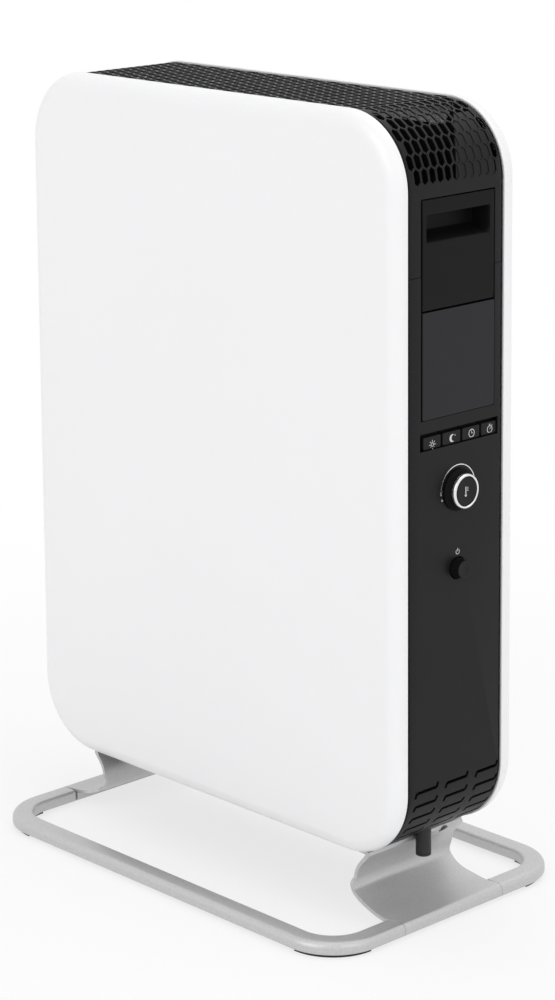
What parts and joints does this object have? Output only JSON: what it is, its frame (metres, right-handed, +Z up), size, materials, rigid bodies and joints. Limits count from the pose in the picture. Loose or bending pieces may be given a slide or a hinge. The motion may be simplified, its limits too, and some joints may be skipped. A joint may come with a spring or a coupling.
{
  "type": "oil-filled radiator",
  "caption": "Flat oil-filled radiator: white panels on a black casing with a honeycomb top, side controls with a display and a dial, on an open silver ring stand.",
  "frame": {"origin": "on the floor under the middle of the whole outline, the dial's reach counted", "axes": "+Z up, the wide front panel faces -Y, the controls are on the +X side"},
  "size_m": [0.4388, 0.27, 0.646],
  "materials": {
    "white_enamel": "satin white enamel",
    "black_case": "fine matt black moulding",
    "dark_insert": "smooth dark moulding",
    "smoked_window": "glossy smoked, nearly black",
    "bright_trim": "satin chrome",
    "silver_paint": "silver paint",
    "black_rubber": "matt black",
    "core_grey": "dark grey paint",
    "plated_steel": "zinc plated",
    "brass": "plain brass",
    "board_green": "green circuit board",
    "pale_plastic": "plain pale moulding"
  },
  "bodies": {
    "heater": {"front_panel": "white_enamel", "rear_panel": "white_enamel", "top_grille": "black_case", "grille_baffle": "dark_insert", "control_casing": "black_case", "far_casing": "black_case", "bottom_cover": "black_case", "handle_insert": "dark_insert", "far_handle_insert": "dark_insert", "display_window": "smoked_window", "display_module": "pale_plastic", "key_switch_strip": "pale_plastic", "dial_arc": "bright_trim", "rotary_encoder": "pale_plastic", "power_switch": "pale_plastic", "control_board": "board_green", "room_sensor": "brass", "cable_gland": "black_case", "front_rail": "silver_paint", "rear_rail": "silver_paint", "foot_front_control": "black_rubber", "foot_rear_control": "black_rubber", "foot_rear_far": "black_rubber", "foot_front_far": "black_rubber", "control_bracket": "silver_paint", "far_bracket": "silver_paint", "stand_screw_control_front": "black_rubber", "stand_screw_control_rear": "black_rubber", "stand_screw_far_front": "black_rubber", "stand_screw_far_rear": "black_rubber", "chassis_bar_front": "plated_steel", "chassis_bar_rear": "plated_steel", "core_saddle_control": "plated_steel", "core_saddle_far": "plated_steel", "oil_column_1": "core_grey", "oil_column_2": "core_grey", "oil_column_3": "core_grey", "oil_column_4": "core_grey", "oil_column_5": "core_grey", "oil_column_6": "core_grey", "element_flange": "brass", "heating_element": "plated_steel", "thermal_cutout": "pale_plastic", "filler_plug": "brass", "heat_shield": "plated_steel", "terminal_block": "pale_plastic", "tip_switch_housing": "pale_plastic", "tip_pin": "plated_steel"},
    "key_comfort_body": {"key_comfort": "black_case"},
    "key_night_body": {"key_night": "black_case"},
    "key_clock_body": {"key_clock": "black_case"},
    "key_timer_body": {"key_timer": "black_case"},
    "power_button_body": {"power_button": "black_case"},
    "dial_plunger_body": {"encoder_plunger": "pale_plastic"},
    "dial_body": {"dial_knob": "black_case", "dial_ring": "bright_trim", "dial_cap": "dark_insert", "encoder_shaft": "plated_steel"},
    "tip_pendulum_body": {"tip_pendulum": "plated_steel"}
  },
  "joints": [
    {"name": "key_comfort_press", "type": "slide", "parent": "heater", "child": "key_comfort_body", "axis": [-1, 0, 0], "range_m": [0, 0.001], "stiffness_N_per_m": 1000},
    {"name": "key_night_press", "type": "slide", "parent": "heater", "child": "key_night_body", "axis": [-1, 0, 0], "range_m": [0, 0.001], "stiffness_N_per_m": 1000},
    {"name": "key_clock_press", "type": "slide", "parent": "heater", "child": "key_clock_body", "axis": [-1, 0, 0], "range_m": [0, 0.001], "stiffness_N_per_m": 1000},
    {"name": "key_timer_press", "type": "slide", "parent": "heater", "child": "key_timer_body", "axis": [-1, 0, 0], "range_m": [0, 0.001], "stiffness_N_per_m": 1000},
    {"name": "power_button_press", "type": "slide", "parent": "heater", "child": "power_button_body", "axis": [-1, 0, 0], "range_m": [0, 0.002], "stiffness_N_per_m": 800},
    {"name": "dial_press", "type": "slide", "parent": "heater", "child": "dial_plunger_body", "axis": [-1, 0, 0], "range_m": [0, 0.0008], "stiffness_N_per_m": 1500},
    {"name": "dial_turn", "type": "hinge", "parent": "dial_plunger_body", "child": "dial_body", "pos_m": [0.20915, -0.0033, 0.352], "axis": [1, 0, 0], "continuous": true},
    {"name": "tip_pendulum_swing", "type": "hinge", "parent": "heater", "child": "tip_pendulum_body", "pos_m": [-0.08485, 0, 0.0938], "axis": [0, 1, 0], "range_deg": [-15, 15]}
  ]
}
